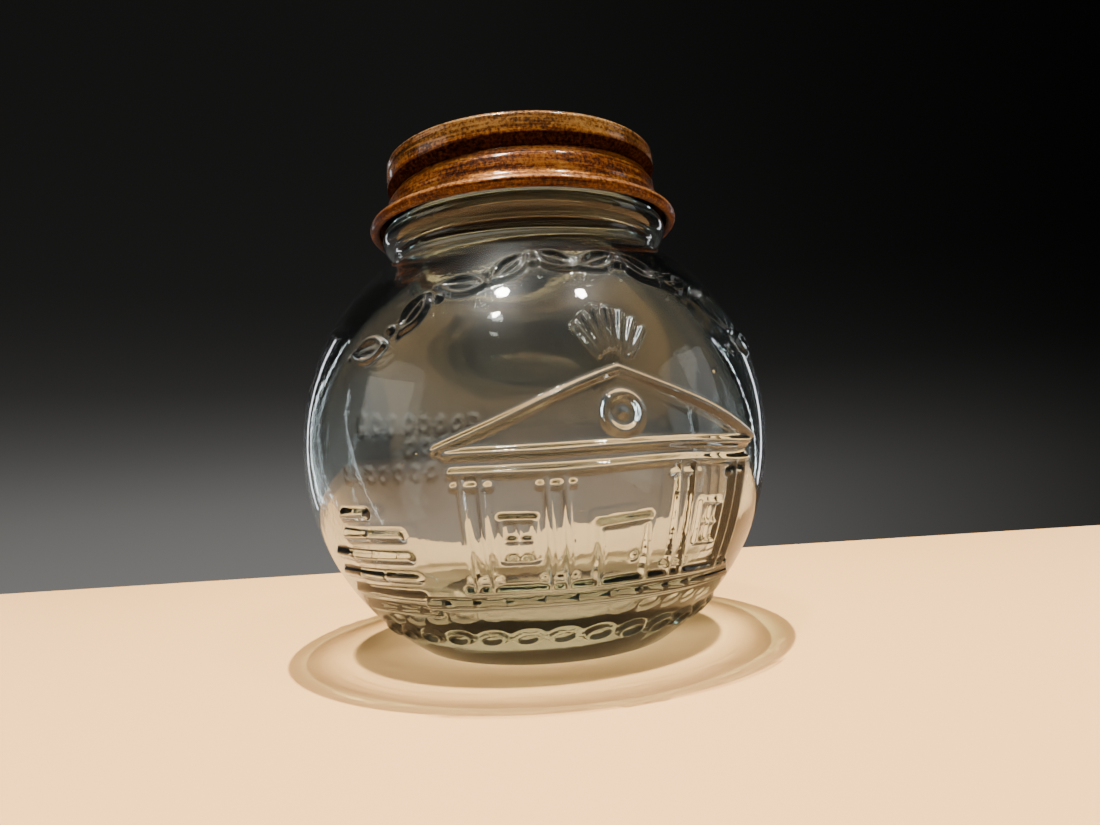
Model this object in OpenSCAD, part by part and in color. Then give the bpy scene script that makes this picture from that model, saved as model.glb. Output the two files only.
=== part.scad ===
// Coin bank: a globe-shaped glass jar with a screwed sheet-metal cap.
// Millimetres, +Z up. The origin is the centre of the bearing ring that the jar stands on.
// The embossed picture faces -Y. Bearings on the globe are [angle from -Y towards +X, latitude].

/* [Globe] */
// Outside diameter of the glass globe
globe_d = 97; // [94:0.5:100]
// Height of the globe's centre above the base
globe_z = 41; // [39:0.5:42]
// Thickness of the blown wall
wall_t = 3; // [2.5:0.1:3.5]
// Height of the inside floor above the base
floor_z = 5.2; // [4.5:0.1:7]
// Radius where the wall turns into the base
heel_r = 3; // [2:0.25:4]
// Rise of the hollow under the base
push_up = 1.8; // [1:0.1:2.5]

/* [Neck] */
// Outside radius of the neck
neck_r = 28.3; // [28:0.1:29]
// Radius of the mouth
mouth_r = 24.4; // [23.5:0.1:24.6]
// Outside radius of the bead below the thread
bead_r = 30.8; // [30:0.1:31]
// Radius of the glass at the root of its thread
root_r = 27.4; // [27.3:0.05:27.45]
// Height of the glass thread above its root
glass_rib = 1.3; // [1.1:0.05:1.3]

/* [Cap] */
// Outside radius of the cap's side
band_r = 29.3; // [29.3:0.05:29.6]
// Thickness of the sheet metal
sheet_t = 0.4; // [0.35:0.05:0.4]
// Outside radius of the rolled hem
hem_r = 33.3; // [33:0.1:34]
// Radius of the roll in the hem
curl_r = 1; // [0.8:0.05:1.1]
// Height of the cap's top above the base
cap_top = 102.4; // [102.3:0.1:103]
// Advance of the thread in one turn
pitch = 5.08; // [5.08:0.01:5.08]
// Depth of the groove rolled into the cap
groove_d = 1.25; // [1.1:0.05:1.25]

/* [Coin slot] */
// Length of the slot
slot_l = 32; // [28:0.5:34]
// Width of the slot
slot_w = 4.8; // [4.6:0.1:6]

/* [Sealing ring] */
// Inside radius of the ring
seal_in = 24.9; // [24.5:0.1:25.5]
// Outside radius of the ring
seal_out = 27.9; // [27.7:0.1:27.9]
// Thickness of the ring
seal_t = 1; // [0.8:0.05:1]

/* [Embossing] */
// How far the raised lines stand out of the glass
line_h = 0.85; // [0.6:0.05:1]
// Middle of the picture
pic_az = 17; // [10:1:22]
// Half the width of the picture's front
pic_half = 33; // [28:1:36]
// Latitude of the ground line
ground_lat = -33.5; // [-35:0.5:-32]
// Latitude of the beam over the columns
beam_lat = -6; // [-8:0.5:-4]
// Latitude of the gable's point
gable_lat = 12; // [9:0.5:14]

/* [Hidden] */
$fn = 96;
globe_r = globe_d / 2;
panel_drop = 0.7;
lip_gap = 0.1;
turn_gap = 0.15;
panel_under = cap_top - panel_drop - sheet_t;
seal_z = panel_under - turn_gap - seal_t;
lip_z = seal_z - lip_gap;
// The helix of the cap's groove passes this height straight in front
groove_z = 96.25;
// The cap's rib hangs this far under the glass rib when the cap is screwed down
rib_drop = 2.1;
groove_half = 1.7;
glass_half = 1.6;
// Bearings where each thread starts and ends, and the angles over which it fades in and out
glass_run = [-470, 20, 30, 30];
cap_run = [-195, 270, 40, 110];
steps = 72;
rows_per_mm = 2;
bead_z = 85.3;
bead_round = 2.1;
stud_z0 = 86.6;
stud_z1 = lip_z - 1.25;
lip_round = 1;
lip_r = root_r - 0.2;
cap_z0 = 91.4;
cap_z1 = 101;
flare = 0.45;
flare_end = 95.5;
rim_turn = 1;
step_in = 1.7;
cove_r = 2.4;
hem_z = 87.9;
ring_ro = 20;
line_w = 1;
// How far shapes run past or into each other where they are cut or joined
over = 1;
lap = 0.3;
skin_lap = 0.05;

// The picture. Heights and widths are in degrees on the globe, radii in millimetres
foot_rise = 3.4;
frieze_rise = 3.6;
eaves_rise = 4.5;
eaves_out = 3;
coin_rise = 9.5;
coin_r = 3;
finial_r = 1.7;
ground_w = 1.4;
ground_out = [12, 5];
column_w = 1.6;
column_at = [0.42, 0.9];
door_half = 5.5;
lintel_half = 7.5;
lintel_lat = -16;
lintel_w = 1.2;

// A smooth hump of height 1 at 0 that is gone at the half width
function hump(u, half) = abs(u) >= half ? 0 : pow(cos(90 * u / half), 2);
// 0 below a, 1 above b, smooth between
function ease(x, a, b) = x <= a ? 0 : x >= b ? 1 : (1 - cos(180 * (x - a) / (b - a))) / 2;

// Height of a thread's hump at a bearing and height: the helix passes z_front at bearing 0 and
// runs over the bearings in run = [start, end, fade in, fade out]
function thread_at(az, z, z_front, half, run) =
    let (turn = round((z - z_front) / pitch - az / 360),
         a = az + 360 * turn,
         u = z - z_front - pitch * a / 360)
    hump(u, half) * ease(a, run[0], run[0] + run[2]) * (1 - ease(a, run[1] - run[3], run[1]));

function glass_radius(az, z) =
    root_r + glass_rib * thread_at(az, z, groove_z + rib_drop, glass_half, glass_run);

function cap_radius(az, z) =
    band_r + flare * (1 - ease(z, cap_z0, flare_end))
    - groove_d * thread_at(az, z, groove_z, groove_half, cap_run);

// A solid of revolution whose radius varies with bearing and height, with flat ends
module turned(z0, z1, radius_at) {
    rows = ceil((z1 - z0) * rows_per_mm);
    side = [for (i = [0:rows]) let (z = z0 + (z1 - z0) * i / rows)
            for (j = [0:steps - 1]) let (az = 360 * j / steps - 180, r = radius_at(az, z))
            [r * sin(az), -r * cos(az), z]];
    low = len(side);
    skin = [for (i = [0:rows - 1]) for (j = [0:steps - 1])
            let (k = (j + 1) % steps, a = i * steps + j, b = i * steps + k)
            each [[a, a + steps, b + steps], [a, b + steps, b]]];
    ends = [for (j = [0:steps - 1]) let (k = (j + 1) % steps, top = rows * steps)
            each [[low, j, k], [low + 1, top + k, top + j]]];
    polyhedron(concat(side, [[0, 0, z0], [0, 0, z1]]), concat(skin, ends));
}

// A solid ring of rectangular section
module ring(ri, ro, z0, z1) {
    rotate_extrude() translate([ri, z0]) square([ro - ri, z1 - z0]);
}

// A disc about the Z axis
module disc(r, z0, z1) {
    translate([0, 0, z0]) cylinder(r = r, h = z1 - z0);
}

// ---- embossed lines: round bars laid along the globe ----

function facing(p) = [sin(p[0]) * cos(p[1]), -cos(p[0]) * cos(p[1]), sin(p[1])];
function unit(v) = v / norm(v);

// A bar along the shortest way between two bearings
module bar(p, q, w = line_w) {
    a = facing(p);
    b = facing(q);
    n = unit(cross(a, b));
    m = cross(n, a);
    multmatrix([[a[0], m[0], n[0], 0], [a[1], m[1], n[1], 0], [a[2], m[2], n[2], 0], [0, 0, 0, 1]])
        rotate_extrude(angle = acos(a * b))
            translate([globe_r + line_h - w, 0]) circle(r = w, $fn = 24);
}

// A bar along a line of latitude
module level(az0, az1, lat, w = line_w) {
    reach = globe_r + line_h - w;
    translate([0, 0, reach * sin(lat)]) rotate([0, 0, az0 - 90]) rotate_extrude(angle = az1 - az0)
        translate([reach * cos(lat), 0]) circle(r = w, $fn = 24);
}

// A raised round ring
module hoop(p, r, w = line_w) {
    rotate([0, 0, p[0] - 90]) rotate([0, 90 - p[1], 0])
        translate([0, 0, sqrt(pow(globe_r, 2) - pow(r, 2)) + line_h - w])
            rotate_extrude() translate([r, 0]) circle(r = w, $fn = 24);
}

// A plain building front: gable, beam, four columns and a doorway on a ground line
module picture() {
    left = pic_az - pic_half;
    right = pic_az + pic_half;
    foot = ground_lat + foot_rise;
    eaves = beam_lat + eaves_rise;
    level(left - ground_out[0], right + ground_out[1], ground_lat, ground_w);
    level(left - over, right + over, foot);
    level(left, right, beam_lat);
    level(left - over, right + over, beam_lat + frieze_rise);
    bar([left - eaves_out, eaves], [pic_az, gable_lat]);
    bar([pic_az, gable_lat], [right + eaves_out, eaves]);
    hoop([pic_az, beam_lat + coin_rise], coin_r);
    for (side = [-1, 1]) {
        for (place = column_at) {
            az = pic_az + side * place * pic_half;
            bar([az, foot], [az, beam_lat], column_w);
        }
        post = pic_az + side * door_half;
        bar([post, foot], [post, lintel_lat]);
    }
    level(pic_az - lintel_half, pic_az + lintel_half, lintel_lat, lintel_w);
    translate(facing([pic_az, gable_lat]) * (globe_r + line_h - line_w)) sphere(r = finial_r);
}

// ---- pieces ----

module glass_solid() {
    heel_x = sqrt(pow(globe_r - heel_r, 2) - pow(globe_z - heel_r, 2));
    heel_top = globe_z - (globe_z - heel_r) * globe_r / (globe_r - heel_r);
    intersection() {
        translate([0, 0, globe_z]) sphere(r = globe_r);
        disc(globe_r + over, heel_top, globe_z + globe_r);
    }
    rotate_extrude() intersection() {
        union() {
            translate([heel_x, heel_r]) circle(r = heel_r);
            square([heel_x, heel_r]);
        }
        square([globe_r, heel_top + lap]);
    }
    disc(neck_r, globe_z, bead_z);
    rotate_extrude() {
        translate([bead_r - bead_round, bead_z]) circle(r = bead_round);
        translate([0, bead_z - bead_round]) square([bead_r - bead_round, 2 * bead_round]);
    }
    turned(stud_z0, stud_z1, function (az, z) glass_radius(az, z));
    rotate_extrude() {
        translate([lip_r - lip_round, lip_z - lip_round]) circle(r = lip_round);
        translate([0, stud_z1 - over]) square([lip_r - lip_round, lip_z - stud_z1 + over]);
        translate([0, stud_z1 - over]) square([lip_r, lip_z - lip_round - stud_z1 + over]);
    }
    translate([0, 0, globe_z]) picture();
}

module glass_jar() color([0.8, 0.88, 0.84, 0.45]) difference() {
    glass_solid();
    intersection() {
        translate([0, 0, globe_z]) sphere(r = globe_r - wall_t);
        disc(globe_r, floor_z, globe_z + globe_r);
    }
    disc(mouth_r, globe_z, cap_top);
    dish_r = (pow(ring_ro, 2) + pow(push_up, 2)) / (2 * push_up);
    translate([0, 0, push_up - dish_r]) sphere(r = dish_r, $fn = 400);
}

module seal_ring() color([0.72, 0.62, 0.46]) ring(seal_in, seal_out, seal_z, seal_z + seal_t);

// The rolled top edge with the sunk panel inside it
module cap_top_shell() {
    edge = band_r - rim_turn;
    edge_z = cap_top - rim_turn;
    step = edge - step_in;
    joint_z = cap_z1 - lap;
    rotate_extrude() difference() {
        union() {
            translate([edge, edge_z]) circle(r = rim_turn);
            translate([0, panel_under]) square([edge, panel_drop + sheet_t]);
            translate([edge - rim_turn, joint_z]) square([2 * rim_turn, edge_z - joint_z]);
        }
        translate([edge, edge_z]) circle(r = rim_turn - sheet_t);
        translate([0, cap_z1 - over]) square([band_r - sheet_t - skin_lap, edge_z - cap_z1 + over]);
        translate([step + sheet_t, cap_z1]) square([edge - step - sheet_t, cap_top - sheet_t - cap_z1]);
        translate([0, cap_top - panel_drop]) square([step, over]);
    }
}

// The skirt's flare and its rolled hem
module cap_hem() {
    wall_ro = band_r + flare;
    cove_z = cap_z0 - 2 * skin_lap;
    wall_in = sheet_t + skin_lap;
    rotate_extrude() {
        intersection() {
            difference() {
                translate([wall_ro + cove_r, cove_z]) circle(r = cove_r + sheet_t);
                translate([wall_ro + cove_r, cove_z]) circle(r = cove_r);
            }
            translate([wall_ro - over, cove_z - cove_r - over]) square([cove_r + over, cove_r + over]);
        }
        translate([wall_ro - wall_in, cove_z - lap]) square([wall_in + skin_lap / 2, 2 * lap]);
        translate([hem_r - curl_r, hem_z]) circle(r = curl_r);
    }
}

module cap() color([0.6, 0.33, 0.12]) {
    difference() {
        turned(cap_z0, cap_z1, function (az, z) cap_radius(az, z));
        turned(cap_z0 - over, cap_z1 + over, function (az, z) cap_radius(az, z) - sheet_t);
    }
    difference() {
        cap_top_shell();
        translate([0, 0, panel_under - over]) linear_extrude(cap_top - panel_under + 2 * over) {
            square([slot_l - slot_w, slot_w], center = true);
            for (end = [-1, 1]) translate([end * (slot_l - slot_w) / 2, 0]) circle(d = slot_w);
        }
    }
    cap_hem();
}

glass_jar();
seal_ring();
cap();
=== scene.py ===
"""Coin bank jar: a globe of green-tinted glass with raised decoration, under a lacquered screw cap."""

import math

import bpy
import numpy as np
from mathutils import Matrix, Vector


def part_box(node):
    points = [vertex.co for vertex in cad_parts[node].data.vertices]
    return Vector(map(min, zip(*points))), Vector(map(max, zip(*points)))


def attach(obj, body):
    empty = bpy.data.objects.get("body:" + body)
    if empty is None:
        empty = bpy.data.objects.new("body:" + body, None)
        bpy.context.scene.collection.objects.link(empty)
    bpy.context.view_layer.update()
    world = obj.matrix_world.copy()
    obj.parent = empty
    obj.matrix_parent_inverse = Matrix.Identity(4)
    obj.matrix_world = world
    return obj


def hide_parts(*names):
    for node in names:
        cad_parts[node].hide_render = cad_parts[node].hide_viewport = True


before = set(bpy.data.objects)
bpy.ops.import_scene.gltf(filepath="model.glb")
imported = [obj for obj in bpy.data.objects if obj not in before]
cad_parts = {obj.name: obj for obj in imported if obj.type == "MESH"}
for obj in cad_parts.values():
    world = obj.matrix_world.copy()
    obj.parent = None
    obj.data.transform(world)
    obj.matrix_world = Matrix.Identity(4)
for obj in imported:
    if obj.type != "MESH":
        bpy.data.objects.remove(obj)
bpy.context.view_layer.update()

MM = 0.001
rng = np.random.default_rng(7)

# ---- sizes, in millimetres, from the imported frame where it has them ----
jar_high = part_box("glass_jar")[1]
cap_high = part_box("cap")[1]
seal_low, seal_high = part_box("seal_ring")
GLOBE_R = 48.5
GLOBE_Z = 41.0
WALL = 3.0
BASE_EXTRA = 1.4                   # how much thicker the wall grows towards the base
HEAVY = (88, 36, 1.3)              # the heavy side: its bearing, half width in degrees and extra mm
LIP_Z = jar_high.z / MM
CAP_TOP = cap_high.z / MM
PITCH = 5.08
DEG = GLOBE_R * math.pi / 180      # length of one degree on the globe

HEEL_R = 3.0
PUSH_UP = 1.8
RING_IN = 20.0
SHOULDER_LAT = 52.5                # the globe turns into the neck at this latitude
NECK_R = 28.3
BEAD_R = 30.8
BEAD_Z = 85.3
BEAD_HALF = 2.5
ROOT_R = 27.4
MOUTH_R = 24.4
LIP_ROUND = 1.1
GLASS_RIB = 1.3
RIB_HALF = 1.6
RIB_RUN = (-470, 20, 30, 30)       # bearings where the glass thread starts and ends, and its fades
GROOVE_Z = 96.25
RIB_DROP = 2.1

BAND_R = 29.3
SHEET = 0.4
PANEL_SINK = 0.7
PANEL_R = 25.4
FLARE = 0.45
FLARE_TOP = 95.5
GROOVE_D = 1.25
GROOVE_HALVES = (2.5, 1.7)         # its gentle lower side and steep upper side
GROOVE_RUN = (-195, 270, 40, 110)
CREASE_D = 0.22
CREASE_HALF = 0.6
CREASE_RUN = (200, 345, 60, 25)
CROWN = 0.12
CROWN_Z = 99.6
SIDE_TOP = CAP_TOP - 1.3
COVE_Z = 91.3
COVE_R = 2.4
WALL_R = BAND_R + FLARE - 0.1      # the side, just above the cove
CURL_R = 1.0
HEM_Z = 87.9
HEM_DROP = 0.2
HEM_R = cap_high.x / MM
SLOT_L = 32.0
SLOT_W = 4.8
SLOT_TURN = 0.6                    # how far the sheet turns down into the slot
FAR = 99.0                         # this far from the slot the panel is flat
SEAL_IN = 24.9
SEAL_ROUND = 0.3

# ---- the raised decoration: strokes on the globe ----
# A stroke is a line of [bearing, latitude] points in degrees, a half width and a height in mm.
# Bearing 0 faces -Y and grows towards +X.
PIC_AZ = 17.0
PIC_HALF = 33.0
GROUND = -33.5
BEAM = -6.0
GABLE = 12.0
EAVES = BEAM + 4.5
FOOT = GROUND + 3.4
ROUNDEL = BEAM + 9.5
LINTEL = -17.0
DOOR_HALF = 5.5
KNOB = (2.6, -25.0)                # bearing from the middle of the door, and latitude
LINE_W = 0.95
LINE_H = 1.0
DOT = 0.1                          # a stroke this long, in degrees, reads as a dot
strokes = []


def stroke(points, width=LINE_W, height=LINE_H):
    strokes.append((np.asarray(points, float), width, height))


def level(az0, az1, lat, width=LINE_W, height=LINE_H):
    stroke([(a, lat) for a in np.linspace(az0, az1, 2 + int(abs(az1 - az0) // 12))], width, height)


def upright(az, lat0, lat1, width=LINE_W, height=LINE_H):
    stroke([(az, lat0), (az, lat1)], width, height)


def placed(az, lat, shape, turn=0.0):
    """Points given in mm right and up of a place on the globe, as bearings and latitudes."""
    c, s = math.cos(math.radians(turn)), math.sin(math.radians(turn))
    shape = np.asarray(shape, float)
    right = shape[:, 0] * c - shape[:, 1] * s
    up = shape[:, 0] * s + shape[:, 1] * c
    return np.stack([az + right / DEG / math.cos(math.radians(lat)), lat + up / DEG], -1)


def hoop(az, lat, radius, width=LINE_W, height=LINE_H):
    t = np.linspace(0, 2 * math.pi, 25)
    stroke(placed(az, lat, np.stack([np.cos(t), np.sin(t)], -1) * radius), width, height)


def leaf(az, lat, length, half, turn):
    """A pointed leaf: two bowed edges and a midrib."""
    t = np.linspace(-1, 1, 9)
    for side in (-1, 1):
        edge = np.stack([t * length / 2, side * half * (1 - t * t)], -1)
        stroke(placed(az, lat, edge, turn), 0.8, 0.75)
    stroke(placed(az, lat, [(-length * 0.62, 0), (length * 0.3, 0)], turn), 0.6, 0.5)


def dot(az, lat, width, height):
    stroke([(az, lat), (az + DOT, lat)], width, height)


def column(az):
    """A column of two flutes with a plain capital and foot."""
    for flute in (-1.8, 1.8):
        upright(az + flute, FOOT, BEAM, 0.85, 0.95)
    for lat in (BEAM - 2.6, FOOT + 2.4):
        level(az - 3.2, az + 3.2, lat, 0.8, 0.7)


def building():
    """A plain building front: gable, beam, fluted columns, doorway, two windows, ground line."""
    left, right = PIC_AZ - PIC_HALF, PIC_AZ + PIC_HALF
    level(left - 12, right + 5, GROUND, 1.4, 1.1)
    level(left - 1, right + 1, FOOT)
    level(left, right, BEAM)
    level(left - 1, right + 1, BEAM + 3.6)
    stroke([(left - 3, EAVES), (PIC_AZ, GABLE), (right + 3, EAVES)])
    hoop(PIC_AZ, ROUNDEL, 3)
    dot(PIC_AZ, ROUNDEL, 1.0, 0.6)
    for side in (-1, 1):
        for place in (0.42, 0.9):
            column(PIC_AZ + side * place * PIC_HALF)
        window(PIC_AZ + side * 0.66 * PIC_HALF, -19)
        upright(PIC_AZ + side * DOOR_HALF, FOOT, LINTEL)
    level(PIC_AZ - DOOR_HALF, PIC_AZ + DOOR_HALF, LINTEL)
    dot(PIC_AZ + KNOB[0], KNOB[1], 1.0, 0.8)


def window(az, lat):
    """A small window of four panes."""
    w, h = 2.5, 3.6
    frame_line = [(-w, -h), (w, -h), (w, h), (-w, h), (-w, -h)]
    stroke(placed(az, lat, frame_line), 0.8, 0.7)
    stroke(placed(az, lat, [(0, -h), (0, h)]), 0.6, 0.5)
    stroke(placed(az, lat, [(-w, 0), (w, 0)]), 0.6, 0.5)


def rays():
    """Rays that fan out over the gable's point."""
    for k in range(-3, 4):
        lean = 11 * k
        stroke(placed(PIC_AZ, GABLE + 4, [(0.9 * k, 0.6), (0.9 * k, 8.5 - 0.5 * abs(k))], -lean),
               0.75, 0.7)


def garland(middle, crest, droop, spread, count):
    """Leaves and berries along an arch over the shoulder."""
    for k in range(count):
        s = (k / (count - 1) - 0.5) * 2
        az, lat = middle + s * spread, crest - droop * s * s
        slope = -2 * droop * s / spread / math.cos(math.radians(lat))
        along = math.degrees(math.atan(slope))
        leaf(az, lat, 8.2, 2.0, along + (32 if k % 2 else -32))
        berry_s = s + 1 / (count - 1)
        if k < count - 1:
            dot(middle + berry_s * spread, crest - droop * berry_s ** 2, 1.1, 0.8)


def coin_stacks(first_az, heights, foot):
    """Stacks of coins seen from the side."""
    for k, height in enumerate(heights):
        for coin in range(height):
            lat = foot + 4.5 * coin
            half = 3.1 / DEG / math.cos(math.radians(lat))
            lean = 0.7 * math.sin(2.4 * coin + k)
            az = first_az + 9.3 * k + lean
            level(az - half, az + half, lat, 1.25, 0.75)


def beads(az0, az1, lat, gap):
    """A border of ovals and dots round the foot of the globe."""
    count = int((az1 - az0) / gap)
    for k in range(count):
        az = az0 + gap * (k + 0.5)
        t = np.linspace(0, 2 * math.pi, 17)
        oval = np.stack([np.cos(t) * 2.3, np.sin(t) * 1.5], -1)
        stroke(placed(az, lat, oval, 18), 0.8, 0.7)
        dot(az + gap / 2, lat, 0.9, 0.6)


def sprigs(first_az, last_az, lat, count):
    """A row of small upright leaves, on the far side."""
    for k, az in enumerate(np.linspace(first_az, last_az, count)):
        half, tall = 1.1, 2.0
        lean = 14 * math.sin(2.1 * k + lat)
        side = [(0, -tall), (half, -0.4), (half * 0.8, 0.9), (0, tall)]
        for mirror in (-1, 1):
            stroke(placed(az, lat, [(mirror * x, y) for x, y in side], lean), 0.7, 0.5)


def decorate():
    """Draws every stroke of the raised decoration, and the two mould seams."""
    building()
    rays()
    garland(13, 39, 19, 51, 10)
    coin_stacks(-52, (4, 6, 5), -36)
    beads(-62, 82, -44.5, 10.3)
    sprigs(-113, -157, 8.5, 8)
    sprigs(-133, -146, 2.3, 3)
    sprigs(-102, -155, -5, 9)
    for seam in (-86, 94):
        upright(seam, -56, 53, 0.75, 0.16)


def wrapped(angle):
    return (angle + 180) % 360 - 180


def soft_noise(az, lat, seed, waves, scale):
    """A smooth ripple that closes on itself round the globe, about -1 to 1."""
    r = np.random.default_rng(seed)
    a, l = np.radians(az), np.radians(lat)
    x, y, z = np.sin(a) * np.cos(l), -np.cos(a) * np.cos(l), np.sin(l)
    total = 0 * x
    for _ in range(waves):
        d = r.normal(size=3)
        d *= scale * r.uniform(0.6, 1.4) / np.linalg.norm(d)
        total = total + np.sin(d[0] * x + d[1] * y + d[2] * z + r.uniform(0, 6.28))
    return total / math.sqrt(waves)


def relief(az, lat):
    """Height of the decoration, in mm, on the grid of bearings and latitudes."""
    grid_az, grid_lat = np.meshgrid(az, lat)
    wander = 0.28
    grid_az = grid_az + wander / DEG * soft_noise(grid_az, grid_lat, 3, 6, 14)
    grid_lat = grid_lat + wander / DEG * soft_noise(grid_az, grid_lat, 4, 6, 14)
    high = np.zeros_like(grid_az)
    for points, width, height in strokes:
        for (a0, l0), (a1, l1) in zip(points[:-1], points[1:]):
            room = (width + 0.6) / DEG
            rows = np.nonzero((lat > min(l0, l1) - room) & (lat < max(l0, l1) + room))[0]
            mid, reach = (a0 + a1) / 2, abs(a1 - a0) / 2
            room_az = room / math.cos(math.radians(min(80, max(abs(l0), abs(l1)) + 2)))
            cols = np.nonzero(np.abs(wrapped(az - mid)) < reach + room_az)[0]
            if not len(rows) or not len(cols):
                continue
            block = np.ix_(rows, cols)
            shrink = np.cos(np.radians(grid_lat[block])) * DEG
            px, py = wrapped(grid_az[block] - a0) * shrink, (grid_lat[block] - l0) * DEG
            vx, vy = wrapped(a1 - a0) * shrink, (l1 - l0) * DEG
            share = np.clip((px * vx + py * vy) / (vx * vx + vy * vy + 1e-9), 0, 1)
            far = np.hypot(px - share * vx, py - share * vy)
            ridge = height * np.cos(np.pi / 2 * np.clip(far / width, 0, 1)) ** 1.1
            high[block] = np.maximum(high[block], ridge)
    return high * (1 + 0.12 * soft_noise(grid_az, grid_lat, 5, 5, 9))


# ---- meshes from rows of points round the axis ----

def on_axis(az, radius, z):
    """Points at a bearing, a distance from the axis and a height."""
    a = np.radians(az)
    radius, z = np.broadcast_arrays(radius + 0 * a, z + 0 * a)
    return np.stack([np.sin(a) * radius, -np.cos(a) * radius, z], -1)


def mesh_from_rows(name, rows, closed=False, flip=False, extra=()):
    """Joins rows of points round the axis: each as long as the last, half or twice it, or one point."""
    starts = np.cumsum([0] + [len(r) for r in rows])
    faces = []
    pairs = list(zip(range(len(rows) - 1), range(1, len(rows))))
    if closed:
        pairs.append((len(rows) - 1, 0))
    for i, k in pairs:
        a, b, n, m = int(starts[i]), int(starts[k]), len(rows[i]), len(rows[k])
        if n == m:
            faces += [(a + j, a + (j + 1) % n, b + (j + 1) % n, b + j) for j in range(n)]
        elif n == 1:
            faces += [(a, b + (j + 1) % m, b + j) for j in range(m)]
        elif m == 1:
            faces += [(a + j, a + (j + 1) % n, b) for j in range(n)]
        elif n == 2 * m:
            for j in range(m):
                x, y, z = a + 2 * j, a + 2 * j + 1, a + (2 * j + 2) % n
                u, v = b + j, b + (j + 1) % m
                faces += [(x, y, u), (y, v, u), (y, z, v)]
        else:
            assert m == 2 * n, (name, n, m)
            for j in range(n):
                x, y, z = b + 2 * j, b + 2 * j + 1, b + (2 * j + 2) % m
                u, v = a + j, a + (j + 1) % n
                faces += [(u, y, x), (u, v, y), (v, z, y)]
    if flip:
        faces = [f[::-1] for f in faces]
    points = np.concatenate(rows) * MM
    for more_points, more_faces in extra:
        base = len(points)
        points = np.concatenate([points, more_points * MM])
        faces += [tuple(base + v for v in f) for f in more_faces]
    mesh = bpy.data.meshes.new(name)
    mesh.from_pydata(points.tolist(), [], faces)
    mesh.validate()
    mesh.shade_smooth()
    thing = bpy.data.objects.new(name, mesh)
    bpy.context.scene.collection.objects.link(thing)
    return thing


def arc(cx, cz, rx, rz, start, end, count):
    """Points of an elliptic arc, angles in degrees from outwards through up."""
    t = np.radians(np.linspace(start, end, count))
    return list(zip(cx + rx * np.cos(t), cz + rz * np.sin(t)))


def bend(p, corner, q, count):
    """Points of a curve from p to q that leaves and arrives along the lines to the corner."""
    t = np.linspace(0, 1, count)[:, None]
    p, corner, q = (np.array(v, float) for v in (p, corner, q))
    return [tuple(v) for v in (1 - t) ** 2 * p + 2 * t * (1 - t) * corner + t * t * q]


def evenly(points, gap):
    """The same outline with its points spaced evenly."""
    points = np.array(points, float)
    run = np.concatenate([[0], np.cumsum(np.hypot(*np.diff(points, axis=0).T))])
    at = np.linspace(0, run[-1], max(2, int(round(run[-1] / gap)) + 1))
    return np.stack([np.interp(at, run, points[:, k]) for k in (0, 1)], -1)


def smoothed(points, rounds):
    points = np.array(points, float)
    for _ in range(rounds):
        points[1:-1] = points[1:-1] / 2 + (points[:-2] + points[2:]) / 4
    return points


def ease(x, a, b):
    t = np.clip((x - a) / (b - a), 0, 1)
    return t * t * (3 - 2 * t)


def thread_at(az, z, z_front, halves, run):
    """Height, 0 to 1, of a thread's rib whose helix passes z_front at bearing 0.

    halves are its half widths below and above; run is its start and end bearing and its two fades."""
    turn = np.round((z - z_front) / PITCH - az / 360)
    a = az + 360 * turn
    u = z - z_front - PITCH * a / 360
    half = np.where(u < 0, *halves)
    a0, a1, fade0, fade1 = run
    rib = np.cos(np.pi / 2 * np.clip(np.abs(u) / half, 0, 1)) ** 2
    return rib * ease(a, a0, a0 + fade0) * (1 - ease(a, a1 - fade1, a1))


# ---- the glass jar ----

BUBBLE = (43.1, 12.3)              # bearing and latitude of the one large bubble in the wall
SEEDS, LARGER_SEEDS = 190, 9
FINE_SPAN = (-64, 84)              # bearings that carry the picture
FINE_COLUMNS, PLAIN_COLUMNS = 368, 232
GLOBE_ROWS = 246


def fine_front(count_front, count_back, front):
    """Bearings round the globe, closer together over the part that carries the picture."""
    low, high = front
    near = np.linspace(low, high, count_front, endpoint=False)
    rest = np.linspace(high, low + 360, count_back, endpoint=False)
    return np.concatenate([near, rest])


def on_globe(lat, depth=0.0):
    """Distance from the axis and height of a point that lies some mm under the globe's surface."""
    return ((GLOBE_R - depth) * math.cos(math.radians(lat)),
            GLOBE_Z + (GLOBE_R - depth) * math.sin(math.radians(lat)))


def bubble(az, lat, depth, radius):
    """A seed bubble inside the wall: a small closed shell that faces inwards."""
    rows, cols = (6, 10) if radius > 0.3 else (4, 7)
    centre = on_axis(az, *on_globe(lat, depth))
    points = [centre + (0, 0, radius)]
    for i in range(1, rows):
        t = math.pi * i / rows
        for j in range(cols):
            p = 2 * math.pi * j / cols
            points.append(centre + radius * np.array(
                [math.sin(t) * math.cos(p), math.sin(t) * math.sin(p), math.cos(t)]))
    points.append(centre - (0, 0, radius))
    last = len(points) - 1
    faces = []
    for j in range(cols):
        k = (j + 1) % cols
        faces.append((0, 1 + k, 1 + j))
        faces.append((last, last - cols + j, last - cols + k))
        for i in range(rows - 2):
            a, b = 1 + i * cols, 1 + (i + 1) * cols
            faces.append((a + j, a + k, b + k, b + j))
    return np.array(points), faces


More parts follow.
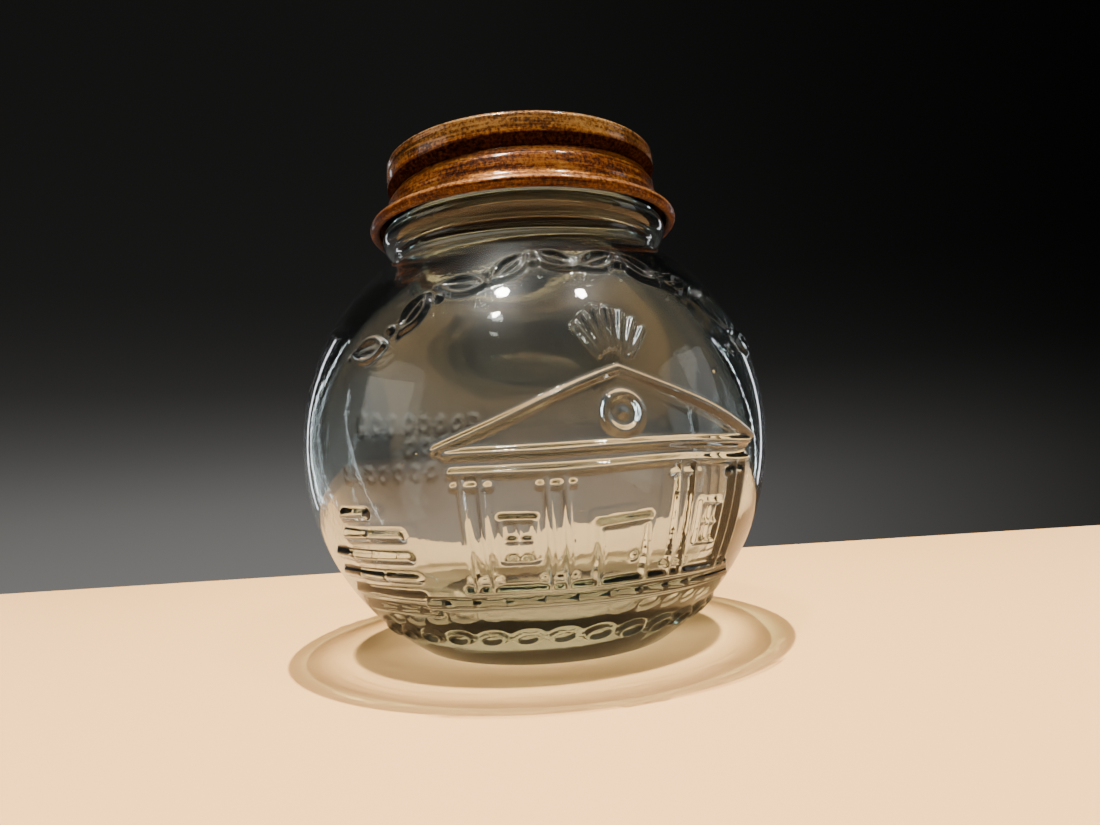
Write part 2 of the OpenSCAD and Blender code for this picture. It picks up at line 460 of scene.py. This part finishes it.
def base_rows(fine, coarse, heel_x, tilt):
    """The underside with its push-up and bearing ring, and the rounded heel."""
    rows = [np.array([[0, 0, PUSH_UP]])]
    under = [(r, PUSH_UP * (1 - (r / RING_IN) ** 2)) for r in (3, 7, 11, 15, 18, 19.6)]
    under += [(RING_IN + 0.5, 0.0), (heel_x - 1, 0.0), (heel_x, 0.0)]
    rows += [on_axis(coarse, r, z) for r, z in under]
    return rows + [on_axis(fine, r, z) for r, z in arc(heel_x, HEEL_R, HEEL_R, HEEL_R, -84, -tilt - 4, 4)]


def globe_rows(az, tilt):
    """The outside of the globe with its relief and a slight unevenness."""
    lats = np.linspace(-tilt, SHOULDER_LAT, GLOBE_ROWS)
    high = relief(az, lats)
    grid_az, grid_lat = np.meshgrid(az, lats)
    swell = 0.10 * soft_noise(grid_az, grid_lat, 11, 7, 7)
    swell *= ease(grid_lat, -tilt, -tilt + 12) * (1 - ease(grid_lat, 44, SHOULDER_LAT))
    reach = GLOBE_R + high + swell
    rows = []
    for i, lat in enumerate(lats):
        c, s = math.cos(math.radians(lat)), math.sin(math.radians(lat))
        rows.append(on_axis(az, reach[i] * c, GLOBE_Z + reach[i] * s))
    return rows


def neck_rows(az):
    """The neck, its bead, the threaded finish and the rounded lip."""
    top = on_globe(SHOULDER_LAT)
    corner = (NECK_R, top[1] + (top[0] - NECK_R) / math.tan(math.radians(SHOULDER_LAT)))
    neck = bend(top, corner, (NECK_R, corner[1] + 1.6), 6)[1:]
    neck += arc(NECK_R + 0.2, BEAD_Z, BEAD_R - NECK_R - 0.2, BEAD_HALF, -88, 62, 12)
    root = (ROOT_R, BEAD_Z + BEAD_HALF)
    neck += bend((BEAD_R - 1.2, BEAD_Z + 2.2), root, (ROOT_R, BEAD_Z + 3.4), 5)[1:]
    rows = [on_axis(az, r, z) for r, z in neck]
    for z in np.arange(BEAD_Z + 3.8, LIP_Z - 1.3, 0.42):
        rib = thread_at(wrapped(az), z, GROOVE_Z + RIB_DROP, (RIB_HALF, RIB_HALF), RIB_RUN)
        rows.append(on_axis(az, ROOT_R + GLASS_RIB * rib, z))
    lip = arc(ROOT_R - 1.2, LIP_Z - LIP_ROUND, 1.2, LIP_ROUND, 8, 90, 6)
    lip += arc(MOUTH_R + LIP_ROUND, LIP_Z - 1.0, LIP_ROUND, 1.0, 98, 180, 5)
    return rows + [on_axis(az, r, z) for r, z in lip]


def inside_rows(az):
    """The inside of the glass, uneven, with thicker glass at the base and on the heavy side."""
    inside = [(MOUTH_R, LIP_Z - 2), (MOUTH_R, 82.5)]
    inside += [on_globe(lat, WALL + BASE_EXTRA * ease(-lat, 20, 50)) for lat in np.linspace(56, -46, 40)]
    inside += [(23.5, 6.0), (15, 5.4), (8, 5.8), (0.6, 6.2)]
    inside = smoothed(evenly(inside, 1.5), 6)
    middle, half, extra = HEAVY
    heavy_side = extra * np.exp(-(wrapped(az - middle) / half) ** 2)
    rows = []
    for k, (r, z) in enumerate(inside):
        lat = math.degrees(math.atan2(z - GLOBE_Z, r))
        sway = 0.34 * soft_noise(az, lat + 0 * az, 21, 9, 8) - heavy_side
        sway *= ease(r, 4, 16) * ease(k, 3, 14)
        out = np.array([r, z - GLOBE_Z]) / math.hypot(r, z - GLOBE_Z)
        rows.append(on_axis(az, r + sway * out[0], z + sway * out[1]))
    rows.append(np.array([[0, 0, inside[-1][1]]]))
    return rows


def make_jar():
    az = fine_front(FINE_COLUMNS, PLAIN_COLUMNS, FINE_SPAN)
    half, quarter = az[::2], az[::4]
    heel_x = math.sqrt((GLOBE_R - HEEL_R) ** 2 - (GLOBE_Z - HEEL_R) ** 2)
    tilt = math.degrees(math.atan2(GLOBE_Z - HEEL_R, heel_x))
    rows = base_rows(half, quarter, heel_x, tilt) + globe_rows(az, tilt)
    rows += neck_rows(half) + inside_rows(quarter)

    seeds = [bubble(rng.uniform(-80, 100), rng.uniform(-25, 48), rng.uniform(0.4, 1.9),
                    rng.uniform(0.09, 0.22)) for _ in range(SEEDS)]
    seeds += [bubble(rng.uniform(-60, 80), rng.uniform(-30, 40), 1.4, rng.uniform(0.2, 0.32))
              for _ in range(LARGER_SEEDS)]
    seeds.append(bubble(*BUBBLE, 1.2, 0.6))
    return mesh_from_rows("jar_glass", rows, extra=seeds)


def mark(thing, name, values):
    """Stores a number for each point of a mesh under a name that a material can read."""
    layer = thing.data.attributes.new(name, "FLOAT", "POINT")
    layer.data.foreach_set("value", np.asarray(values, np.float32))


# ---- the cap ----

def slot_outline(az, grow):
    """Points on the slot's rounded outline, grown by some mm, that lie along each bearing."""
    a = np.radians(az)
    x, y = np.sin(a), -np.cos(a)
    half, end = SLOT_W / 2 + grow, (SLOT_L - SLOT_W) / 2
    flat = half / np.maximum(np.abs(y), 1e-9)
    round_end = np.abs(x) * flat > end
    # where the ray leaves the straight side it meets the round end
    b = end * np.abs(x)
    reach = np.where(round_end, b + np.sqrt(np.maximum(b * b - end * end + half * half, 0)), flat)
    return np.stack([x * reach, y * reach], -1)


def panel_rows(az, grows, steps, edge_r, height):
    """Rows from the slot's edge out to a circle, at heights given by the distance from the slot."""
    rows = []
    for grow in grows:
        flat = slot_outline(az, grow)
        rows.append(np.column_stack([flat, np.full(len(az), height(grow))]))
    start = slot_outline(az, grows[-1])
    a = np.radians(az)
    circle = np.stack([np.sin(a), -np.cos(a)], -1) * edge_r
    for share in np.linspace(0, 1, steps)[1:]:
        flat = start * (1 - share) + circle * share
        rows.append(np.column_stack([flat, np.full(len(az), height(FAR))]))
    return rows


def make_cap():
    az = np.linspace(-180, 180, 288, endpoint=False)
    panel = CAP_TOP - PANEL_SINK
    grows = (0, 0.12, 0.3, 0.55, 0.9, 1.5)

    def turned_down(grow):
        return SLOT_TURN * math.exp(-(grow / 0.4) ** 2)

    rows = panel_rows(az, grows, 9, PANEL_R, lambda g: panel - turned_down(g))
    edge = [(25.9, 0.02), (26.3, 0.14), (26.6, 0.38), (26.85, 0.58), (27.2, 0.68), (27.7, 0.7)]
    rim = [(r, panel + z) for r, z in edge]
    rim += arc(28.2, CAP_TOP - 1.05, 1.1, 1.05, 80, 8, 9)
    for r, z in rim:
        rows.append(on_axis(az, r, z))

    def side(z, inwards):
        groove = GROOVE_D * thread_at(wrapped(az), z, GROOVE_Z, GROOVE_HALVES, GROOVE_RUN)
        crease = CREASE_D * thread_at(wrapped(az), z, GROOVE_Z, (CREASE_HALF, CREASE_HALF), CREASE_RUN)
        crown = CROWN * np.cos(np.pi * np.clip((z - CROWN_Z) / 4, -0.5, 0.5))
        flare = FLARE * (1 - ease(z, COVE_Z, FLARE_TOP))
        return BAND_R - 0.1 + crown + flare - groove - crease - inwards

    heights = np.arange(SIDE_TOP, COVE_Z, -0.3)
    for z in heights:
        rows.append(on_axis(az, side(z, 0), z))
    cove_x = WALL_R + COVE_R
    hem = arc(cove_x, COVE_Z, COVE_R, COVE_R, 183, 262, 10)
    hem += arc(HEM_R - CURL_R, HEM_Z - HEM_DROP, CURL_R, CURL_R + HEM_DROP, 96, -200, 24)
    for r, z in hem:
        rows.append(on_axis(az, r, z))
    outer_rows = len(rows) - 4     # the end of the curl counts as inside
    for r, z in arc(cove_x, COVE_Z, COVE_R + SHEET, COVE_R + SHEET, 250, 183, 8):
        rows.append(on_axis(az, r, z))
    for z in heights[::-1]:
        rows.append(on_axis(az, side(z, SHEET), z))
    inner = arc(28.15, CAP_TOP - 1.05, 0.68, 0.65, 8, 80, 6)
    inner += [(27.6, CAP_TOP - SHEET), (27.2, CAP_TOP - 0.5), (26.95, CAP_TOP - 0.75),
              (26.7, CAP_TOP - 1.0), (26.3, CAP_TOP - 1.08), (25.9, CAP_TOP - 1.1)]
    for r, z in inner:
        rows.append(on_axis(az, r, z))
    below = panel - SHEET
    rows += panel_rows(az, grows, 9, PANEL_R, lambda g: below - turned_down(g))[::-1]
    shell = mesh_from_rows("cap_shell", rows, closed=True, flip=True)
    inside = np.repeat(np.arange(len(rows)) >= outer_rows, len(az))
    mark(shell, "inside", inside)
    return shell


def make_seal():
    az = np.linspace(-180, 180, 160, endpoint=False)
    b = SEAL_ROUND
    x0, x1 = SEAL_IN + b, seal_high.x / MM - b
    z0, z1 = seal_low.z / MM + b, seal_high.z / MM - b
    outline = []
    for k, (x, z) in enumerate(((x1, z1), (x0, z1), (x0, z0), (x1, z0))):
        outline += arc(x, z, b, b, 90 * k, 90 * (k + 1), 4)
    rows = [on_axis(az, r, z) for r, z in outline]
    return mesh_from_rows("seal_band", rows, closed=True)


# ---- materials ----

class Nodes:
    """A short way to write the node tree of a material or a world."""

    def __init__(self, owner):
        owner.use_nodes = True
        self.tree = owner.node_tree
        self.tree.nodes.clear()

    def add(self, kind, inputs=None, **settings):
        node = self.tree.nodes.new(kind)
        for key, value in settings.items():
            setattr(node, key, value)
        for key, value in (inputs or {}).items():
            if isinstance(value, bpy.types.NodeSocket):
                self.tree.links.new(value, node.inputs[key])
            else:
                node.inputs[key].default_value = value
        return node

    def place(self, scale):
        where = self.add("ShaderNodeTexCoord").outputs["Object"]
        return self.add("ShaderNodeMapping", {"Vector": where, "Scale": scale}).outputs[0]

    def axes(self, kind):
        """The X, Y and Z of a texture coordinate, by name."""
        where = self.add("ShaderNodeTexCoord").outputs[kind]
        return self.add("ShaderNodeSeparateXYZ", {0: where}).outputs

    def noise(self, scale, detail=3.0, rough=0.55, stretch=(1, 1, 1)):
        return self.add("ShaderNodeTexNoise", {
            "Vector": self.place(stretch), "Scale": scale, "Detail": detail,
            "Roughness": rough}).outputs["Fac"]

    def spread(self, value, low, high, to_low=0.0, to_high=1.0):
        return self.add("ShaderNodeMapRange", {
            "Value": value, "From Min": low, "From Max": high,
            "To Min": to_low, "To Max": to_high}).outputs[0]

    def ramp(self, value, stops, between="LINEAR"):
        node = self.add("ShaderNodeValToRGB", {"Fac": value})
        node.color_ramp.interpolation = between
        while len(node.color_ramp.elements) < len(stops):
            node.color_ramp.elements.new(0.5)
        for element, (at, colour) in zip(node.color_ramp.elements, stops):
            element.position = at
            element.color = (*colour, 1)
        return node.outputs["Color"]

    def mix(self, share, a, b, kind="MIX"):
        return self.add("ShaderNodeMix", {0: share, 6: a, 7: b}, data_type="RGBA",
                        blend_type=kind).outputs[2]

    def math(self, kind, a, b=0.0):
        return self.add("ShaderNodeMath", {0: a, 1: b}, operation=kind).outputs[0]

    def bump(self, height, strength, distance):
        return self.add("ShaderNodeBump", {
            "Height": height, "Strength": strength, "Distance": distance}).outputs[0]

    def attribute(self, name):
        return self.add("ShaderNodeAttribute", attribute_name=name).outputs["Fac"]

    def ray(self, kind):
        return self.add("ShaderNodeLightPath").outputs[kind]

    def principled(self, colour, rough, **more):
        """A Principled shader; an underscore in a name stands for a space."""
        named = {key.replace("_", " "): value for key, value in more.items()}
        return self.add("ShaderNodeBsdfPrincipled",
                        {"Base Color": colour, "Roughness": rough, **named}).outputs[0]


def material(name, build):
    """A material whose surface, and volume if it has one, come from a function."""
    made = bpy.data.materials.new(name)
    n = Nodes(made)
    parts = build(n)
    n.add("ShaderNodeOutputMaterial", dict(zip(("Surface", "Volume"), parts)))
    return made


def clear_glass(n):
    """Glass that absorbs a little red, and lets lamp light through, least where it is seen edge on."""
    height = n.math("ADD", n.math("MULTIPLY", n.noise(900, 2.0), 0.12), n.noise(60, 2.0))
    film = n.spread(n.noise(35, 4.0, 0.65), 0.45, 0.75, 0.0, 0.06)
    shell = n.principled(
        (0.94, 0.97, 0.98, 1), film, IOR=1.5, Transmission_Weight=1.0,
        Coat_Weight=0.22, Coat_Roughness=0.30, Normal=n.bump(height, 0.25, 0.0003))
    facing = n.add("ShaderNodeLayerWeight", {"Blend": 0.5}).outputs["Facing"]
    dim = n.ramp(facing, [(0.33, (0.97, 0.96, 0.95)), (0.55, (0.80, 0.77, 0.75)),
                          (0.72, (0.50, 0.45, 0.43)), (1.0, (0.36, 0.32, 0.31))])
    open_way = n.add("ShaderNodeBsdfTransparent", {"Color": dim}).outputs[0]
    both = n.add("ShaderNodeMixShader", {0: n.ray("Is Shadow Ray"), 1: shell, 2: open_way})
    tint = n.add("ShaderNodeVolumeAbsorption", {"Color": (0.47, 0.86, 0.79, 1), "Density": 25.0})
    return both.outputs[0], tint.outputs[0]


def lacquered_tinplate(n):
    """Mottled amber lacquer, more olive on the upper band, with worn edges and painted shade in the
    groove, under the hem and inside.
    """
    streak = n.noise(1.0, 5.0, 0.6, (90, 90, 2400))
    cloud = n.noise(110, 4.0, 0.6)
    mottle = n.noise(1500, 5.0, 0.7)
    blend = n.math("ADD", n.math("MULTIPLY", streak, 0.35), n.math("MULTIPLY", cloud, 0.2))
    blend = n.math("ADD", blend, n.math("MULTIPLY", mottle, 0.45))
    amber = n.ramp(blend, [(0.41, (0.014, 0.004, 0.001)), (0.47, (0.10, 0.026, 0.003)),
                           (0.53, (0.30, 0.100, 0.010)), (0.61, (0.60, 0.32, 0.07))])
    olive = n.ramp(blend, [(0.41, (0.020, 0.008, 0.001)), (0.49, (0.15, 0.075, 0.010)),
                           (0.60, (0.48, 0.34, 0.11))])
    # painted shade: near black, for the groove's upper wall and the hem's underside
    painted_shade = n.ramp(mottle, [(0.42, (0.003, 0.001, 0.0005)), (0.62, (0.022, 0.008, 0.002))])
    # the inside's own brown, kept near black as painted shade
    inside_brown_and_painted_shade = n.ramp(cloud, [(0.4, (0.010, 0.005, 0.002)), (0.62, (0.040, 0.018, 0.008))])
    worn = (0.50, 0.27, 0.15, 1)

    groove, inside, edge = (n.attribute(name) for name in ("groove", "inside", "edge"))
    upper = n.spread(n.axes("Object")["Z"], 0.0970, 0.0995, 0.0, 0.6)
    worn_at = n.math("MULTIPLY", edge, n.spread(mottle, 0.42, 0.58, 0.05, 0.6))
    lacquer = n.mix(worn_at, n.mix(upper, amber, olive), worn)
    # painted shade: the groove and the hem's underside take the near-black colour
    lacquer_with_painted_shade = n.mix(n.spread(groove, 0.15, 0.7, 0.0, 0.98), lacquer, painted_shade)
    # the inside of the cap takes the near-black brown, partly painted shade
    colour = n.mix(inside, lacquer_with_painted_shade, inside_brown_and_painted_shade)

    # the painted shade and the inside also lose most of their gloss, metal and coat
    dull = n.math("MAXIMUM", groove, inside)
    shine = n.spread(dull, 0.0, 0.7, 1.0, 0.0)
    rough = n.math("MAXIMUM", n.spread(blend, 0.40, 0.62, 0.42, 0.22), n.math("MULTIPLY", dull, 0.7))
    bumps = n.math("ADD", n.math("MULTIPLY", streak, 0.6), mottle)
    return [n.principled(
        colour, rough, Specular_IOR_Level=n.math("MULTIPLY", shine, 0.25),
        Metallic=n.math("MULTIPLY", shine, 0.5), Coat_Weight=n.math("MULTIPLY", shine, 0.9),
        Coat_Roughness=0.11, Coat_IOR=1.6, Normal=n.bump(bumps, 0.5, 0.00014))]


def brown_rubber(n):
    grain = n.noise(1400, 3.0)
    colour = n.ramp(n.noise(120, 4.0), [(0.35, (0.070, 0.034, 0.018)), (0.65, (0.13, 0.070, 0.038))])
    return [n.principled(colour, n.spread(grain, 0.3, 0.7, 0.6, 0.85), Normal=n.bump(grain, 0.3, 0.0001))]


def pale_floor(n):
    """Plain and pale, and darker where it is only seen as a reflection."""
    colour = n.mix(n.ray("Is Glossy Ray"), (0.67, 0.37, 0.135, 1), (0.43, 0.25, 0.11, 1))
    return [n.principled(colour, 0.6)]


def mark_cap(cap):
    """Stores where the cap gets painted shade, in its groove and under its hem, and where its worn edges
    are, for its material.
    """
    points = np.array([v.co for v in cap.data.vertices]) / MM
    radius, z = np.hypot(points[:, 0], points[:, 1]), points[:, 2]
    az = np.degrees(np.arctan2(points[:, 0], -points[:, 1]))
    on_side = (z > COVE_Z) & (z < SIDE_TOP)
    # painted shade lies on the groove's upper wall, which faces down, so its band is a little higher than
    # the groove
    groove = thread_at(az, z, GROOVE_Z + 0.6, (1.6, 2.0), (-200, 262, 40, 90)) ** 0.4 * on_side
    # painted shade under the hem's curl, kept in the same mask as the groove's
    under_hem = 0.56 * ease(HEM_Z + 0.4 - z, 0, 0.5) * (radius > 31)
    mark(cap, "groove", np.maximum(groove, under_hem))
    rim = np.exp(-((z - CAP_TOP + 0.35) / 0.4) ** 2) * (radius > 27)
    hem = np.exp(-((z - HEM_Z - CURL_R * 0.8) / 0.6) ** 2) * (radius > 31.5)
    mark(cap, "edge", np.clip(rim + hem, 0, 1))


# ---- the stage ----

# These sizes are in metres.
BOARD_BACK = 0.116                 # the pale floor ends this far behind the jar's axis
BOARD_FRONT = -1.2
BOARD_SIDE = 1.4
BOARD_THICK = 0.03
BOARD_GAP = 0.00005                # it lies this far below the jar, so that the two never touch


def make_floor():
    x, y0, y1, z = BOARD_SIDE, BOARD_FRONT, BOARD_BACK, -BOARD_GAP
    low = z - BOARD_THICK
    points = [(-x, y0, low), (x, y0, low), (x, y1, low), (-x, y1, low),
              (-x, y0, z), (x, y0, z), (x, y1, z), (-x, y1, z)]
    faces = [(0, 3, 2, 1), (4, 5, 6, 7), (0, 1, 5, 4), (1, 2, 6, 5), (2, 3, 7, 6), (3, 0, 4, 7)]
    mesh = bpy.data.meshes.new("floor")
    mesh.from_pydata(points, [], faces)
    floor = bpy.data.objects.new("floor", mesh)
    bpy.context.scene.collection.objects.link(floor)
    floor.data.materials.append(material("pale_floor", pale_floor))


def make_world():
    """A dark backdrop behind the jar, lighter low down, and a soft grey room in front of it."""
    world = bpy.data.worlds.new("dark_studio")
    bpy.context.scene.world = world
    n = Nodes(world)
    away = n.axes("Generated")
    greys = ((0.0, 0.19), (0.13, 0.15), (0.24, 0.07), (0.36, 0.024), (0.55, 0.012), (1.0, 0.009))
    stops = [(at, (grey, grey * 0.98, grey * 0.94)) for at, grey in greys]
    backdrop = n.ramp(n.spread(away["Z"], -0.12, 0.5), stops, "B_SPLINE")
    to_the_right = n.spread(away["X"], -0.1, 0.6, 1.0, 0.15)
    backdrop = n.mix(1.0, backdrop, to_the_right, "MULTIPLY")
    in_front = n.spread(away["Y"], 0.45, -0.5)
    colour = n.mix(in_front, backdrop, (0.070, 0.068, 0.066, 1))
    room = n.add("ShaderNodeBackground", {"Color": colour})
    n.add("ShaderNodeOutputWorld", {"Surface": room.outputs[0]})


WARM, COOL = (1, 0.96, 0.90), (0.92, 0.96, 1)
# name, direction from the globe's centre, distance and size in metres, watts, colour,
# height in metres if it is upright, and whether the glass and cap show it
LAMPS = (
    ("overhead", (0.02, 0.0, 1.0), 0.60, 0.008, 18, WARM, None, False),
    ("key", (-0.153, -0.317, 0.936), 0.62, 0.06, 2.7, WARM, None, True),
    ("key_low", (-0.22, -0.50, 0.84), 0.66, 0.035, 0.8, WARM, None, True),
    ("key_right", (0.345, -0.30, 0.89), 0.60, 0.045, 1.2, WARM, None, True),
    ("soft_left", (-1.0, -0.30, 0.30), 0.9, 0.45, 0.4, WARM, 0.3, True),
    ("soft_right", (1.0, -0.05, 0.25), 0.9, 0.25, 0.3, COOL, 0.45, True),
    ("edge_left", (-0.66, 0.74, 0.12), 1.1, 0.05, 0.5, COOL, 0.6, True),
    ("edge_right", (0.66, 0.74, 0.12), 1.1, 0.05, 0.6, COOL, 0.6, True),
    ("fill", (0.1, -0.5, 1.0), 1.0, 0.9, 2.4, COOL, None, False),
)


def make_light(name, direction, distance, size, power, colour, height, shows):
    """A soft round or upright lamp in a direction from the globe's centre, facing it."""
    lamp = bpy.data.lights.new(name, "AREA")
    lamp.shape = "RECTANGLE" if height else "DISK"
    lamp.size = size
    lamp.size_y = height or size
    lamp.energy = power
    lamp.color = colour
    thing = bpy.data.objects.new(name, lamp)
    aim = Vector(direction).normalized()
    thing.location = Vector((0, 0, GLOBE_Z * MM)) + aim * distance
    thing.rotation_euler = aim.to_track_quat("Z", "Y").to_euler()
    thing.visible_camera = False
    thing.visible_glossy = thing.visible_transmission = shows
    bpy.context.scene.collection.objects.link(thing)


LENS = 24.872727                   # mm, on a sensor 36 mm wide
CAMERA_AWAY, CAMERA_RISE = 3.4354, -0.0675      # from the globe's centre, in globe radii
CAMERA_TURN = (0.0205, 0.0581, -0.0601)         # yaw, pitch and roll in radians


def make_camera():
    yaw, pitch, roll = CAMERA_TURN
    ahead = Vector((math.sin(yaw) * math.cos(pitch), math.cos(yaw) * math.cos(pitch), math.sin(pitch)))
    right = Vector((math.cos(yaw), -math.sin(yaw), 0))
    up = right.cross(ahead)
    x = right * math.cos(roll) + up * math.sin(roll)
    y = up * math.cos(roll) - right * math.sin(roll)
    data = bpy.data.cameras.new("camera")
    data.sensor_width = 36
    data.lens = LENS
    data.clip_start = 0.005
    camera = bpy.data.objects.new("camera", data)
    turn = Matrix((x, y, -ahead)).transposed().to_4x4()
    place = (0, -CAMERA_AWAY * GLOBE_R * MM, (GLOBE_Z + CAMERA_RISE * GLOBE_R) * MM)
    camera.matrix_world = Matrix.Translation(place) @ turn
    bpy.context.scene.collection.objects.link(camera)
    bpy.context.scene.camera = camera


make_camera()
decorate()

jar = make_jar()
jar.data.materials.append(material("clear_green_glass", clear_glass))
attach(jar, "jar")
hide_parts("glass_jar")

cap = make_cap()
mark_cap(cap)
cap.data.materials.append(material("amber_lacquered_tinplate", lacquered_tinplate))
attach(cap, "cap")
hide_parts("cap")

seal = make_seal()
seal.data.materials.append(material("brown_seal_rubber", brown_rubber))
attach(seal, "seal")
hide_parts("seal_ring")

make_floor()
make_world()
for lamp in LAMPS:
    make_light(*lamp)
